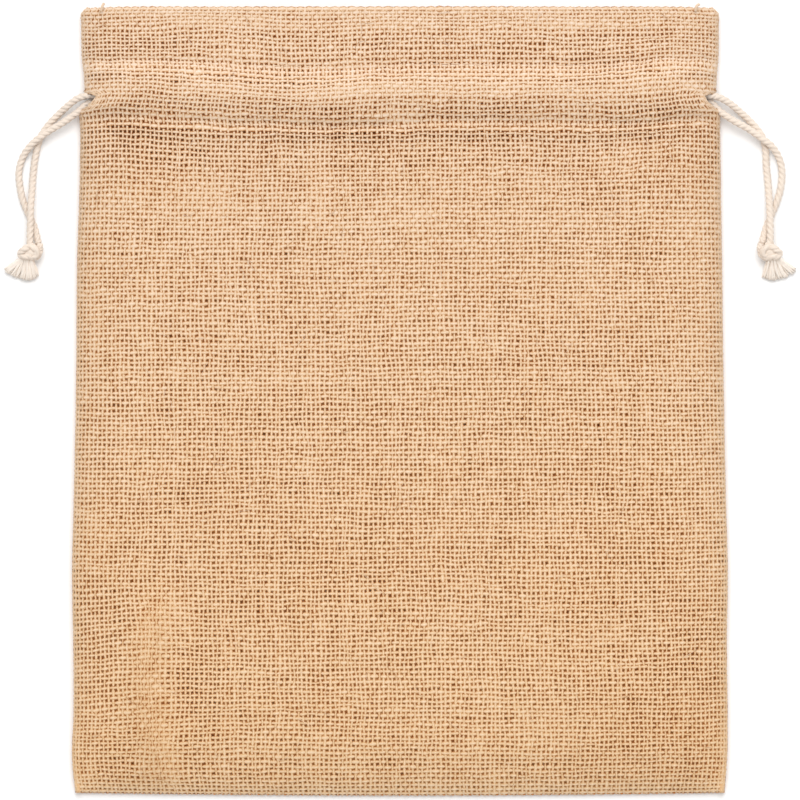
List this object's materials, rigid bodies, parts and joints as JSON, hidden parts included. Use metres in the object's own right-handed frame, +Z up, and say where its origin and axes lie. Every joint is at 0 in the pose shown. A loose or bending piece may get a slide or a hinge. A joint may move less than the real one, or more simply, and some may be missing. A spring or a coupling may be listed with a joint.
{
  "type": "jute gift bag with drawcords",
  "caption": "Flat jute pouch lying on its back, open at the mouth, with a stitched drawcord channel below its heading and a knotted cotton cord at each side.",
  "frame": {"origin": "on the surface under the middle of the bag, which lies on its back", "axes": "+Y along the bag towards its mouth, +X across it to the right, +Z up through its thickness, out of the front"},
  "size_m": [0.3012, 0.3004, 0.0182],
  "materials": {
    "jute_cloth": "plain-woven natural jute, matt, with open holes between the yarns",
    "cotton_cord": "three-strand twisted off-white cotton, matt"
  },
  "bodies": {
    "root": {"bag_body": "jute_cloth", "drawcord_left": "cotton_cord", "drawcord_right": "cotton_cord", "knot_left": "cotton_cord", "knot_right": "cotton_cord"}
  },
  "joints": []
}
